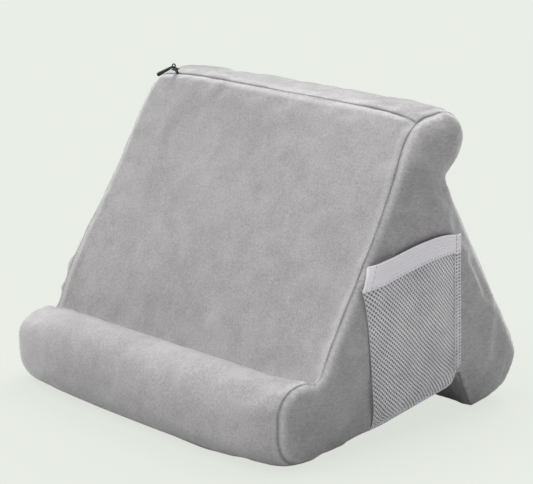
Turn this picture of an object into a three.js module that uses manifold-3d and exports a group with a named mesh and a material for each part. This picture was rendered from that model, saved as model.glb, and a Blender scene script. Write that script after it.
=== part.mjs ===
// Three-lobed wedge cushion: a rest slope with a trough behind a front roll, a top lobe and a rear foot.
// Velvet panels over a foam block, a concealed zip along the top edge and a net pocket on the right side.
// Millimetres, +Z up, front towards -Y, origin under the middle of the bounding box.
import * as THREE from 'three';
import { mergeVertices } from 'three/addons/utils/BufferGeometryUtils.js';
import Module from 'manifold-3d';

const wasm = await Module();
wasm.setup();

const rad = THREE.MathUtils.degToRad;

// Cover: seam width, fabric and the fits between sewn pieces
const SEAM_HALF = 132;
const FABRIC = 1.6;
const SEAM_GAP = 0.4;
const FOAM_GAP = 0.7;
const FLOOR_CUT = 0.5;
const SIDE_CROWN = 6;
const CROWN_POWER = 3;

// Middle section: heights, slopes and the outermost faces
const FRONT_Y = -123.6;
const ROLL_TOP = 56;
const TOP_Z = 214.7;
const LOBE_BACK = 65.35;
const REST_SLOPE = rad(63.7);
const BACK_SLOPE = rad(57.5);

// End section at the side seams, drawn in from the middle section
const END_FRONT_Y = -107.65;
const END_ROLL_TOP = 53;
const END_FLOOR = 3.5;
const END_LOBE_BACK = 60.35;
const END_DROP = 3;
const END_TROUGH_Z = 42;
const END_REST_SLOPE = rad(61.7);

// Zip seam, which sits half way round the top front corner and faces half the rest slope forwards
const ZIP_TILT = REST_SLOPE / 2;
const zipUp = { y: -Math.sin(ZIP_TILT), z: Math.cos(ZIP_TILT) };

// Corners of the two sections with their fillets, from the front trough round under the base
const trough = { y: -73.65, z: 28, r: 5 };
const rollBack = { y: -82.65, z: ROLL_TOP, r: 18 };
const rollBrow = { y: FRONT_Y, z: ROLL_TOP, r: 27 };
const rollFoot = { y: FRONT_Y, z: -FLOOR_CUT, r: 15 };
const baseStart = { y: -43.65, z: -FLOOR_CUT, r: 60 };
const baseEnd = { y: 47.35, z: 18.5, r: 15 };
const notch = { y: 60.35, z: 30, r: 3.5 };
const heelFront = { y: 74.35, z: -FLOOR_CUT, r: 11 };
const neck = { y: 43.35, z: 163.85, r: 6 };
const heelBack = { y: neck.y + (neck.z + FLOOR_CUT) / Math.tan(BACK_SLOPE), z: -FLOOR_CUT, r: 30 };
const lobeUnder = { y: LOBE_BACK, z: 177, r: 14 };
const lobeTop = { y: LOBE_BACK, z: TOP_Z, r: 28 };
const topFront = { y: trough.y + (TOP_Z - trough.z) / Math.tan(REST_SLOPE), z: TOP_Z, r: 18 };

const endTopFront = { y: topFront.y - END_DROP * zipUp.y, z: TOP_Z - END_DROP * zipUp.z, r: 14 };
const endTroughY = endTopFront.y - (endTopFront.z - END_TROUGH_Z) / Math.tan(END_REST_SLOPE);
const endTrough = { y: endTroughY, z: END_TROUGH_Z, r: 5 };
const endRollBack = { y: -81.65, z: END_ROLL_TOP, r: 11 };
const endRollBrow = { y: END_FRONT_Y, z: END_ROLL_TOP, r: 19 };
const endRollFoot = { y: END_FRONT_Y, z: END_FLOOR, r: 22 };
const endBaseStart = { y: -55.65, z: END_FLOOR, r: 60 };
const endBaseEnd = { y: 48.35, z: 21.5, r: 12 };
const endNotch = { y: 60.85, z: 30.5, r: 3.5 };
const endHeelFront = { y: 73.35, z: END_FLOOR, r: 7 };
const endHeelBack = { y: 138.35, z: END_FLOOR, r: 31 };
const endNeck = { y: 42.85, z: 165, r: 5 };
const endLobeUnder = { y: END_LOBE_BACK, z: 178, r: 10 };
const endLobeTop = { y: END_LOBE_BACK, z: endTopFront.z, r: 26 };

// Spine that the side panels swell towards: one branch into each lobe from the body's middle
const bodyMiddle = new THREE.Vector3(0, 11.35, 72);
const rollWaist = new THREE.Vector3(0, -68.65, 22);
const rollMiddle = new THREE.Vector3(0, -91, 28);
const topWaist = new THREE.Vector3(0, 21.35, 158);
const topMiddle = new THREE.Vector3(0, 34.35, 182);
const heelWaist = new THREE.Vector3(0, 84.35, 47);
const heelMiddle = new THREE.Vector3(0, 94.35, 31);

// Faceting of the soft forms
const ARC_STEP = rad(36);
const EDGE_STEP = 55;
const HALF_ROWS = 4;
const SIDE_RINGS = 3;
const SIDE_FLAT = 0.6;

// Zip: slit between the panel edges, tapes, toothed rows, slider and pull
const ZIP_SLIT = 1.8;
const ZIP_FIT = 0.3;
const TAPE_DROP = 2.3;
const TAPE_THICK = 0.6;
const TAPE_WIDE = 9;
const ZIP_SHORT = 10;
const TAPE_HALF = SEAM_HALF - ZIP_SHORT;
const TAPE_TAIL = 6;
const TEETH_HALF = TAPE_HALF - TAPE_TAIL;
const TOOTH_PITCH = 4.5;
const TOOTH_LONG = 2.1;
const TOOTH_REACH = 1;
const ROW_WIDE = 1.8;
const ROW_THICK = 1.7;
const STOP_LONG = 3;
const STOP_WIDE = 7.2;
const SLIDER_LONG = 10;
const SLIDER_WALL = 1;
const BRIDGE_THICK = 1.2;
const BRIDGE_LONG = 8;
const BRIDGE_BAR = 1.2;
const CAP_WIDE = 5;
const CAP_THICK = 0.8;
const PIVOT_RISE = 3.4;
const PULL_LONG = 16.7;
const PULL_WIDE = 2.8;
const PULL_THICK = 1.4;
const PULL_DROOP = rad(28);
const CHANNEL_HALF = 10.5;
const CHANNEL_END = 2;

// Pocket: corners on the right side, edge stand-off, belly and the sizes of its sewn parts
const pocketTopFront = new THREE.Vector2(-32.5, 118.6);
const pocketTopBack = new THREE.Vector2(47.35, 128);
const pocketBottomBack = new THREE.Vector2(55, 39);
const pocketBottomFront = new THREE.Vector2(-25.5, 15.5);
const POCKET_OFF = 0.4;
const POCKET_BELLY = 5.6;
const BAND_TALL = 13;
const BAND_THICK = 1.4;
const NET_THICK = 0.9;
const NET_ACROSS = 12;
const NET_UP = 12;
const STRAND_SHARE = 0.33;
const BINDING_WIDE = 2.6;
const BINDING_RISE = 1.4;

const sideRim = SEAM_HALF + SEAM_GAP / 2;
const sideOut = sideRim + FABRIC + SIDE_CROWN;
const pocketPlane = sideOut + POCKET_OFF;
const pocketOut = pocketPlane + POCKET_BELLY + BAND_THICK;
const ORIGIN_SHIFT = (pocketOut - sideOut) / 2;

const sections = [
  [trough, endTrough],
  [rollBack, endRollBack],
  [rollBrow, endRollBrow],
  [rollFoot, endRollFoot],
  [baseStart, endBaseStart],
  [baseEnd, endBaseEnd],
  [notch, endNotch],
  [heelFront, endHeelFront],
  [heelBack, endHeelBack],
  [neck, endNeck],
  [lobeUnder, endLobeUnder],
  [lobeTop, endLobeTop],
  [topFront, endTopFront],
];

const flat = (c) => new THREE.Vector2(c.y, c.z);
const cross2 = (a, b) => a.x * b.y - a.y * b.x;

// Fillet of one corner: tangent points, centre and the signed turn of the outline there
function filletOf(before, corner, after) {
  const c = flat(corner);
  const inDir = c.clone().sub(flat(before)).normalize();
  const outDir = flat(after).sub(c).normalize();
  const turn = Math.atan2(cross2(inDir, outDir), inDir.dot(outDir));
  const reach = corner.r * Math.tan(Math.abs(turn) / 2);
  const start = c.clone().addScaledVector(inDir, -reach);
  const left = new THREE.Vector2(-inDir.y, inDir.x);
  const centre = start.clone().addScaledVector(left, corner.r * Math.sign(turn));
  return { start, end: c.clone().addScaledVector(outDir, reach), centre, turn };
}

const around = (list, i) => list[(i + list.length) % list.length];

// Closed outline through the fillets of one section, with the same point count in both sections
function outlineOf(which) {
  const corners = sections.map((pair) => pair[which]);
  const middles = sections.map((pair) => pair[0]);
  const fillets = corners.map((c, i) => filletOf(around(corners, i - 1), c, around(corners, i + 1)));
  const points = [];
  const seamAt = [];
  corners.forEach((corner, i) => {
    const { start, end, centre, turn } = fillets[i];
    const guide = filletOf(around(middles, i - 1), middles[i], around(middles, i + 1));
    const halves = Math.max(1, Math.round(Math.abs(guide.turn) / ARC_STEP));
    for (let k = 0; k <= 2 * halves; k++) {
      if (k === halves) seamAt.push(points.length);
      points.push(start.clone().rotateAround(centre, (turn * k) / (2 * halves)));
    }
    const next = filletOf(middles[i], around(middles, i + 1), around(middles, i + 2));
    const steps = Math.round(guide.end.distanceTo(next.start) / EDGE_STEP);
    const nextStart = around(fillets, i + 1).start;
    for (let k = 1; k < steps; k++) points.push(end.clone().lerp(nextStart, k / steps));
  });
  return { points, seamAt };
}

const middle = outlineOf(0);
const ends = outlineOf(1);
const SEAMS = Object.fromEntries(
  ['trough', 'rollBack', 'rollBrow', 'rollFoot', 'baseStart', 'baseEnd', 'notch', 'heelFront', 'heelBack', 'neck',
    'lobeUnder', 'lobeTop', 'topFront'].map((name, i) => [name, middle.seamAt[i]]),
);

// Cross-section of the cover at one distance from the middle, moved inwards along its own normals
function loopAt(x, inset = 0) {
  const swell = Math.sqrt(Math.max(0, 1 - Math.abs(x / SEAM_HALF) ** CROWN_POWER));
  const loop = ends.points.map((p, i) => p.clone().lerp(middle.points[i], swell));
  return loop.map((p, i) => {
    const along = around(loop, i + 1).clone().sub(around(loop, i - 1)).normalize();
    const inwards = new THREE.Vector2(-along.y, along.x);
    return { p: p.clone().addScaledVector(inwards, inset), along };
  });
}

const rowsTo = (half, count) => {
  const rows = [];
  for (let k = -count; k <= count; k++) rows.push(half * Math.sin((Math.PI / 2) * (k / count)));
  return rows;
};

// Triangle collector that closes a skin into one solid
class Skin {
  constructor() {
    this.points = [];
    this.faces = [];
  }

  row(x, list) {
    const first = this.points.length;
    list.forEach((p) => this.points.push(x, p.x, p.y));
    return list.map((_, i) => first / 3 + i);
  }

  quad(a, b, c, d) {
    this.faces.push(a, b, c, a, c, d);
  }

  strip(lower, upper, closed = false) {
    const count = lower.length - (closed ? 0 : 1);
    for (let i = 0; i < count; i++) {
      const j = (i + 1) % lower.length;
      this.quad(lower[i], lower[j], upper[j], upper[i]);
    }
  }

  cap(ids, list, flip) {
    THREE.ShapeUtils.triangulateShape(list, []).forEach(([a, b, c]) => {
      if (flip) this.faces.push(ids[a], ids[c], ids[b]);
      else this.faces.push(ids[a], ids[b], ids[c]);
    });
  }

  geometry() {
    const g = new THREE.BufferGeometry();
    g.setAttribute('position', new THREE.Float32BufferAttribute(this.points, 3));
    g.setIndex(this.faces);
    return outward(g);
  }
}

// The same surface with its faces turned out
function outward(g) {
  const p = g.getAttribute('position');
  const ids = g.index.array;
  const [a, b, c] = [new THREE.Vector3(), new THREE.Vector3(), new THREE.Vector3()];
  let volume = 0;
  for (let i = 0; i < ids.length; i += 3) {
    a.fromBufferAttribute(p, ids[i]);
    b.fromBufferAttribute(p, ids[i + 1]);
    c.fromBufferAttribute(p, ids[i + 2]);
    volume += a.dot(b.cross(c));
  }
  if (volume < 0) {
    const turned = Array.from(ids);
    for (let i = 0; i < turned.length; i += 3) [turned[i + 1], turned[i + 2]] = [turned[i + 2], turned[i + 1]];
    g.setIndex(turned);
  }
  return g;
}

// Wrap panel between two seams of the outline, as a skin one fabric thick
function wrapPanel(from, to, trimFrom, trimTo) {
  const skin = new Skin();
  const count = middle.points.length;
  const steps = (to - from + count) % count;
  const rows = rowsTo(SEAM_HALF - SEAM_GAP / 2, HALF_ROWS).map((x) => {
    const pick = (inset) => {
      const loop = loopAt(x, inset);
      const list = [];
      for (let k = 0; k <= steps; k++) {
        const { p, along } = around(loop, from + k);
        if (k === 0) p.addScaledVector(along, trimFrom);
        if (k === steps) p.addScaledVector(along, -trimTo);
        list.push(p);
      }
      return list;
    };
    return { outer: skin.row(x, pick(0)), inner: skin.row(x, pick(FABRIC)) };
  });
  rows.slice(1).forEach((row, i) => {
    skin.strip(rows[i].outer, row.outer);
    skin.strip(row.inner, rows[i].inner);
    skin.quad(rows[i].inner[0], rows[i].outer[0], row.outer[0], row.inner[0]);
    skin.quad(rows[i].outer[steps], rows[i].inner[steps], row.inner[steps], row.outer[steps]);
  });
  const last = rows[rows.length - 1];
  skin.strip(rows[0].inner, rows[0].outer);
  skin.strip(last.outer, last.inner);
  return skin.geometry();
}

const spine = [
  [bodyMiddle, rollWaist], [rollWaist, rollMiddle],
  [bodyMiddle, topWaist], [topWaist, topMiddle],
  [bodyMiddle, heelWaist], [heelWaist, heelMiddle],
].map(([a, b]) => new THREE.Line3(a, b));

// Nearest point of the spine to a point of the side outline
function spineNear(p) {
  const at = new THREE.Vector3(0, p.x, p.y);
  const near = spine.map((line) => line.closestPointToPoint(at, true, new THREE.Vector3()));
  near.sort((a, b) => a.distanceToSquared(at) - b.distanceToSquared(at));
  return new THREE.Vector2(near[0].y, near[0].z);
}

// Rings of a swelling side from its rim to the flat middle, each with its distance out
const sideLoop = loopAt(SEAM_HALF).map(({ p }) => p);
const sideTargets = sideLoop.map(spineNear);
function swellRings(loop, rings, crown) {
  const list = [];
  for (let k = 0; k <= rings; k++) {
    const angle = (Math.PI / 2) * (k / rings);
    const share = SIDE_FLAT * (1 - Math.cos(angle));
    list.push({ out: crown * Math.sin(angle), loop: loop.map((p, i) => p.clone().lerp(sideTargets[i], share)) });
  }
  return list;
}

// Side panel, one fabric thick, swelling out from the side seam
function sidePanel(side) {
  const skin = new Skin();
  const rings = swellRings(sideLoop, SIDE_RINGS, SIDE_CROWN);
  const layers = [0, FABRIC].map((lift) => rings.map((r) => skin.row(side * (sideRim + lift + r.out), r.loop)));
  layers.forEach((layer, n) => {
    layer.slice(1).forEach((row, i) => {
      if (n) skin.strip(layer[i], row, true);
      else skin.strip(row, layer[i], true);
    });
    skin.cap(layer[SIDE_RINGS], rings[SIDE_RINGS].loop, !n);
  });
  skin.strip(layers[0][0], layers[1][0], true);
  return skin.geometry();
}

// Block behind a swelling side, flat at the back: the shape that sewn-on pieces are fitted to
function sideBlock(fit) {
  const skin = new Skin();
  const rings = swellRings(sideLoop, SIDE_RINGS, SIDE_CROWN);
  const back = skin.row(0, sideLoop);
  const rows = rings.map((r) => skin.row(sideRim + FABRIC + fit + r.out, r.loop));
  skin.cap(back, sideLoop, true);
  skin.strip(back, rows[0], true);
  rows.slice(1).forEach((row, i) => skin.strip(rows[i], row, true));
  skin.cap(rows[SIDE_RINGS], rings[SIDE_RINGS].loop, false);
  return skin.geometry();
}

// Foam block that fills the cover
function foamBlock() {
  const skin = new Skin();
  const reach = SEAM_HALF - SEAM_GAP / 2;
  const half = reach - FOAM_GAP;
  const fill = (x) => loopAt(x, FABRIC + FOAM_GAP).map(({ p }) => p);
  const rows = rowsTo(reach, HALF_ROWS).map((x) => skin.row(THREE.MathUtils.clamp(x, -half, half), fill(x)));
  rows.slice(1).forEach((row, i) => skin.strip(rows[i], row, true));
  const rim = fill(reach);
  const rings = swellRings(rim, SIDE_RINGS - 1, SIDE_CROWN - FOAM_GAP);
  [-1, 1].forEach((side) => {
    let before = side < 0 ? rows[0] : rows[rows.length - 1];
    rings.slice(1).forEach((r) => {
      const row = skin.row(side * (half + r.out), r.loop);
      if (side < 0) skin.strip(row, before, true);
      else skin.strip(before, row, true);
      before = row;
    });
    skin.cap(before, rings[SIDE_RINGS - 1].loop, side < 0);
  });
  return skin.geometry();
}

// Joining and cutting of solids
function solidOf(geometry) {
  const g = geometry.clone();
  g.deleteAttribute('normal');
  g.deleteAttribute('uv');
  const m = mergeVertices(g, 1e-4);
  return new wasm.Manifold(
    new wasm.Mesh({
      numProp: 3,
      vertProperties: new Float32Array(m.getAttribute('position').array),
      triVerts: new Uint32Array(m.index.array),
    }),
  );
}

function geometryOf(solid) {
  const mesh = solid.getMesh();
  const g = new THREE.BufferGeometry();
  g.setAttribute('position', new THREE.BufferAttribute(mesh.vertProperties, 3));
  g.setIndex(new THREE.BufferAttribute(mesh.triVerts, 1));
  return g;
}

const joined = (...parts) => geometryOf(parts.map(solidOf).reduce((a, b) => a.add(b)));
const cutFrom = (body, tool) => geometryOf(solidOf(body).subtract(solidOf(tool)));

// Flat shape given across and up, drawn out between two distances along X
const alongX = new THREE.Matrix4().makeBasis(
  new THREE.Vector3(0, 1, 0), new THREE.Vector3(0, 0, 1), new THREE.Vector3(1, 0, 0),
);
function drawnAlongX(shape, x0, x1, curveSegments = 6) {
  const g = new THREE.ExtrudeGeometry(shape, { depth: x1 - x0, bevelEnabled: false, curveSegments });
  return g.applyMatrix4(alongX).translate(x0, 0, 0);
}

// Flat shape given along X and up, drawn out evenly to both sides across
const acrossY = new THREE.Matrix4().makeBasis(
  new THREE.Vector3(1, 0, 0), new THREE.Vector3(0, 0, 1), new THREE.Vector3(0, -1, 0),
);
function drawnAcross(shape, thick, curveSegments = 6) {
  const g = new THREE.ExtrudeGeometry(shape, { depth: thick, bevelEnabled: false, curveSegments });
  return g.applyMatrix4(acrossY).translate(0, thick / 2, 0);
}

function box(x0, x1, y0, y1, z0, z1) {
  const g = new THREE.BoxGeometry(x1 - x0, y1 - y0, z1 - z0);
  return g.translate((x0 + x1) / 2, (y0 + y1) / 2, (z0 + z1) / 2);
}

// Zip frame: along the slit, across it towards the back, and out of the cover
const zipCorner = filletOf(lobeTop, topFront, trough);
const zipAt = new THREE.Vector3(
  0, zipCorner.centre.x + topFront.r * zipUp.y, zipCorner.centre.y + topFront.r * zipUp.z,
);
const zipFrame = new THREE.Matrix4().makeBasis(
  new THREE.Vector3(1, 0, 0), new THREE.Vector3(0, zipUp.z, -zipUp.y), new THREE.Vector3(0, zipUp.y, zipUp.z),
).setPosition(zipAt);

const tapeTop = topFront.r - FABRIC - TAPE_DROP;
const rowTop = -(FABRIC + TAPE_DROP + TAPE_THICK + ZIP_FIT);
const rowBottom = rowTop - ROW_THICK;
const slitHalf = ZIP_SLIT / 2;
const sliderSide = slitHalf + ROW_WIDE + ZIP_FIT;
const sliderWide = sliderSide + SLIDER_WALL;
const plateTop = rowBottom - ZIP_FIT;
const plateBottom = plateTop - SLIDER_WALL;
const flangeTop = rowTop - 2 * ZIP_FIT - (tapeTop - Math.sqrt(tapeTop ** 2 - sliderWide ** 2));
const sliderRest = -(TEETH_HALF + ZIP_FIT - SLIDER_LONG / 2);

// Tape curved to the corner that it lies under, on one side of the slit
function zipTape(side) {
  const shape = new THREE.Shape();
  const inner = Math.PI / 2 - side * (slitHalf / tapeTop);
  const outer = Math.PI / 2 - side * (TAPE_WIDE / tapeTop);
  shape.absarc(0, -topFront.r, tapeTop, inner, outer, side > 0);
  shape.absarc(0, -topFront.r, tapeTop - TAPE_THICK, outer, inner, side < 0);
  return drawnAlongX(shape, -TAPE_HALF, TAPE_HALF).applyMatrix4(zipFrame);
}

// Toothed row under one tape, with its teeth towards the slit and half a pitch off the other row
function zipRow(side) {
  const shape = new THREE.Shape();
  const tip = side * slitHalf;
  const root = side * (slitHalf + TOOTH_REACH);
  const back = side * (slitHalf + ROW_WIDE);
  const first = -TEETH_HALF + (side > 0 ? TOOTH_PITCH / 2 : 0) + TOOTH_PITCH / 4;
  shape.moveTo(-TEETH_HALF, root);
  for (let x = first; x + TOOTH_LONG < TEETH_HALF; x += TOOTH_PITCH) {
    shape.lineTo(x, root);
    shape.lineTo(x, tip);
    shape.lineTo(x + TOOTH_LONG, tip);
    shape.lineTo(x + TOOTH_LONG, root);
  }
  shape.lineTo(TEETH_HALF, root);
  shape.lineTo(TEETH_HALF, back);
  shape.lineTo(-TEETH_HALF, back);
  const g = new THREE.ExtrudeGeometry(shape, { depth: ROW_THICK, bevelEnabled: false });
  return g.translate(0, 0, rowBottom).applyMatrix4(zipFrame);
}

// Metal stop clamped across both tapes past the end of the teeth
function zipStop(side) {
  const x = TEETH_HALF + 2 * ZIP_FIT;
  const g = box(x, x + STOP_LONG, -STOP_WIDE / 2, STOP_WIDE / 2, rowBottom, rowTop - 2 * ZIP_FIT);
  return (side < 0 ? g.rotateZ(Math.PI) : g).applyMatrix4(zipFrame);
}

// Slider: a channel round the rows, a neck through the slit, a cap outside and a bridge for the pull
function zipSlider() {
  const half = SLIDER_LONG / 2;
  const channel = new THREE.Shape();
  channel.moveTo(-sliderWide, plateBottom);
  channel.lineTo(sliderWide, plateBottom);
  channel.lineTo(sliderWide, flangeTop);
  channel.lineTo(sliderSide, flangeTop);
  channel.lineTo(sliderSide, plateTop);
  channel.lineTo(-sliderSide, plateTop);
  channel.lineTo(-sliderSide, flangeTop);
  channel.lineTo(-sliderWide, flangeTop);
  const capBottom = ZIP_FIT;
  const bridgeTop = PIVOT_RISE + BRIDGE_BAR / 2;
  const bridge = new THREE.Shape();
  bridge.moveTo(-BRIDGE_LONG / 2, plateTop - SLIDER_WALL / 2);
  bridge.lineTo(BRIDGE_LONG / 2, plateTop - SLIDER_WALL / 2);
  bridge.lineTo(BRIDGE_LONG / 2, bridgeTop - BRIDGE_BAR);
  bridge.lineTo(BRIDGE_LONG / 2 - BRIDGE_BAR, bridgeTop);
  bridge.lineTo(-BRIDGE_LONG / 2 + BRIDGE_BAR, bridgeTop);
  bridge.lineTo(-BRIDGE_LONG / 2, bridgeTop - BRIDGE_BAR);
  const eye = new THREE.Path();
  const eyeHalf = BRIDGE_LONG / 2 - BRIDGE_BAR;
  const eyeBottom = capBottom + CAP_THICK - ZIP_FIT;
  eye.moveTo(-eyeHalf, eyeBottom);
  eye.lineTo(-eyeHalf, bridgeTop - BRIDGE_BAR);
  eye.lineTo(eyeHalf, bridgeTop - BRIDGE_BAR);
  eye.lineTo(eyeHalf, eyeBottom);
  bridge.holes.push(eye);
  const cap = box(-half, half, -CAP_WIDE / 2, CAP_WIDE / 2, capBottom, capBottom + CAP_THICK - ZIP_FIT / 2);
  const body = joined(drawnAlongX(channel, -half, half), drawnAcross(bridge, BRIDGE_THICK), cap);
  return body.applyMatrix4(zipFrame).translate(sliderRest, 0, 0);
}

// Pull: a slim plate hung on the bridge by its eye, drooping forwards
const pullPivot = new THREE.Vector3(sliderRest, 0, PIVOT_RISE).applyMatrix4(
  zipFrame.clone().setPosition(0, zipAt.y, zipAt.z),
);
function zipPull() {
  const eyeHole = BRIDGE_BAR * Math.SQRT1_2 + ZIP_FIT;
  const eyeOut = eyeHole + BRIDGE_BAR - ZIP_FIT;
  const shape = new THREE.Shape();
  const half = PULL_WIDE / 2;
  const join = Math.asin((0.6 * half) / eyeOut);
  shape.absarc(0, 0, eyeOut, Math.PI + join, Math.PI - join, false);
  shape.absarc(-PULL_LONG + half, 0, half, Math.PI / 2, -Math.PI / 2, false);
  const hole = new THREE.Path();
  hole.absarc(0, 0, eyeHole, 0, 2 * Math.PI, true);
  shape.holes.push(hole);
  const plate = drawnAlongX(shape, -PULL_THICK / 2, PULL_THICK / 2, 10);
  return plate.rotateX(PULL_DROOP).translate(pullPivot.x, pullPivot.y, pullPivot.z);
}

// Point of the pocket sheet, across from front to back and up from the bottom edge
const sheetAcross = (u, v) => {
  const low = pocketBottomFront.clone().lerp(pocketBottomBack, u);
  return low.lerp(pocketTopFront.clone().lerp(pocketTopBack, u), v);
};
const sheetOut = (u, v) => {
  const swell = (t) => Math.sqrt(Math.max(0, 1 - Math.abs(t) ** (2 * CROWN_POWER)));
  return pocketPlane + POCKET_BELLY * swell(2 * u - 1) * swell(1 - Math.min(1, v));
};
const pocketTall = pocketTopBack.distanceTo(pocketBottomBack);
const netTop = 1 - BAND_TALL / pocketTall;
const bandFoot = netTop + SEAM_GAP / pocketTall;

// Edges of strands and gaps, in turn, over one direction of the net
function netLines(gaps, reach) {
  const pitch = reach / (gaps + STRAND_SHARE);
  const lines = [];
  for (let k = 0; k <= gaps; k++) lines.push(k * pitch, (k + STRAND_SHARE) * pitch);
  return lines;
}

// Net of strands with open gaps, bellied with the pocket
function pocketNet() {
  const skin = new Skin();
  const us = netLines(NET_ACROSS, 1);
  const vs = netLines(NET_UP, netTop);
  const layers = [0, NET_THICK].map((lift) => vs.map((v) => us.map((u) => {
    const p = sheetAcross(u, v);
    skin.points.push(sheetOut(u, v) + lift, p.x, p.y);
    return skin.points.length / 3 - 1;
  })));
  const [low, high] = layers;
  const open = (i, j) => i % 2 === 1 && j % 2 === 1;
  const filled = (i, j) => i >= 0 && j >= 0 && i < us.length - 1 && j < vs.length - 1 && !open(i, j);
  const wall = (a, b) => skin.quad(low[a[1]][a[0]], low[b[1]][b[0]], high[b[1]][b[0]], high[a[1]][a[0]]);
  for (let j = 0; j < vs.length - 1; j++) {
    for (let i = 0; i < us.length - 1; i++) {
      if (!filled(i, j)) continue;
      skin.quad(high[j][i], high[j][i + 1], high[j + 1][i + 1], high[j + 1][i]);
      skin.quad(low[j][i], low[j + 1][i], low[j + 1][i + 1], low[j][i + 1]);
      if (!filled(i, j - 1)) wall([i, j], [i + 1, j]);
      if (!filled(i + 1, j)) wall([i + 1, j], [i + 1, j + 1]);
      if (!filled(i, j + 1)) wall([i + 1, j + 1], [i, j + 1]);
      if (!filled(i - 1, j)) wall([i, j + 1], [i, j]);
    }
  }
  return skin.geometry();
}

// Elastic band along the pocket mouth, bowed with the belly
function pocketBand() {
  const skin = new Skin();
  const count = 2 * NET_ACROSS;
  const edges = [[0, bandFoot], [0, 1], [BAND_THICK, 1], [BAND_THICK, bandFoot]].map(([lift, v]) => {
    const ids = [];
    for (let k = 0; k <= count; k++) {
      const u = k / count;
      const p = sheetAcross(u, v);
      skin.points.push(sheetOut(u, 1) + lift, p.x, p.y);
      ids.push(skin.points.length / 3 - 1);
    }
    return ids;
  });
  edges.forEach((edge, i) => skin.strip(edge, around(edges, i + 1)));
  skin.quad(edges[0][0], edges[1][0], edges[2][0], edges[3][0]);
  skin.quad(edges[3][count], edges[2][count], edges[1][count], edges[0][count]);
  return skin.geometry();
}

// Binding strip along one pocket edge, fitted down on to the swelling side panel
function pocketBinding(corners) {
  const shape = new THREE.Shape(corners);
  const strip = drawnAlongX(shape, SEAM_HALF, pocketPlane + BINDING_RISE);
  return cutFrom(strip, sideBlock(SEAM_GAP));
}
const besidePocket = (u, v, offU, offV) => {
  const p = sheetAcross(u, v);
  return new THREE.Vector2(p.x + offU, p.y + offV);
};
const bindingNear = SEAM_GAP;
const bindingFar = SEAM_GAP + BINDING_WIDE;

const velvet = { color: '#b4b2b3', roughness: 0.92, metalness: 0 };
const foam = { color: '#d9d3c2', roughness: 0.95, metalness: 0 };
const tape = { color: '#8f8d8e', roughness: 0.85, metalness: 0 };
const nylon = { color: '#6f6d6e', roughness: 0.45, metalness: 0 };
const blackMetal = { color: '#161617', roughness: 0.4, metalness: 0.7 };
const elastic = { color: '#c9c8cd', roughness: 0.8, metalness: 0 };
const netting = { color: '#a9a8ac', roughness: 0.75, metalness: 0 };

const cushion = new THREE.Group();
cushion.position.x = -ORIGIN_SHIFT;
function place(name, geometry, look) {
  const mesh = new THREE.Mesh(geometry, new THREE.MeshStandardMaterial(look));
  mesh.name = name;
  cushion.add(mesh);
}

const half = SEAM_GAP / 2;
const floorBlock = box(-SEAM_HALF, SEAM_HALF, FRONT_Y, heelBack.y, -FABRIC, 0);
const standing = (geometry) => cutFrom(geometry, floorBlock);
place('front_roll_panel', standing(wrapPanel(SEAMS.trough, SEAMS.baseStart, half, half)), velvet);
place('base_panel', standing(wrapPanel(SEAMS.baseStart, SEAMS.notch, half, half)), velvet);
place('back_panel', standing(wrapPanel(SEAMS.notch, SEAMS.neck, half, half)), velvet);
place('top_panel', wrapPanel(SEAMS.neck, SEAMS.topFront, half, slitHalf), velvet);
place('rest_panel', wrapPanel(SEAMS.topFront, SEAMS.trough, slitHalf, half), velvet);
place('left_side_panel', sidePanel(-1), velvet);
place('right_side_panel', sidePanel(1), velvet);

const channelReach = TAPE_HALF + CHANNEL_END;
const channelFloor = plateBottom - FOAM_GAP;
const zipChannel = box(-channelReach, channelReach, -CHANNEL_HALF, CHANNEL_HALF, channelFloor, topFront.r);
place('foam_core', cutFrom(foamBlock(), zipChannel.applyMatrix4(zipFrame)), foam);

place('zip_tape_front', zipTape(-1), tape);
place('zip_tape_rear', zipTape(1), tape);
place('zip_teeth_front', zipRow(-1), nylon);
place('zip_teeth_rear', zipRow(1), nylon);
place('zip_stop_left', zipStop(-1), blackMetal);
place('zip_stop_right', zipStop(1), blackMetal);
place('zip_slider', zipSlider(), blackMetal);
place('zip_pull', zipPull(), blackMetal);

place('pocket_net', pocketNet(), netting);
place('pocket_band', pocketBand(), elastic);
place('pocket_binding_front', pocketBinding([
  besidePocket(0, 0, -bindingFar, -bindingFar),
  besidePocket(0, 0, -bindingNear, -bindingFar),
  besidePocket(0, 1, -bindingNear, 0),
  besidePocket(0, 1, -bindingFar, 0),
]), netting);
place('pocket_binding_rear', pocketBinding([
  besidePocket(1, 0, bindingNear, -bindingFar),
  besidePocket(1, 0, bindingFar, -bindingFar),
  besidePocket(1, 1, bindingFar, 0),
  besidePocket(1, 1, bindingNear, 0),
]), netting);
place('pocket_binding_bottom', pocketBinding([
  besidePocket(0, 0, 0, -bindingFar),
  besidePocket(1, 0, 0, -bindingFar),
  besidePocket(1, 0, 0, -bindingNear),
  besidePocket(0, 0, 0, -bindingNear),
]), netting);

const part = new THREE.Group();
part.add(cushion);
export default part;
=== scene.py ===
import math
import random

import bmesh
import bpy
import numpy as np
from mathutils import Color, Matrix, Vector, noise
from mathutils.geometry import delaunay_2d_cdt


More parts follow.
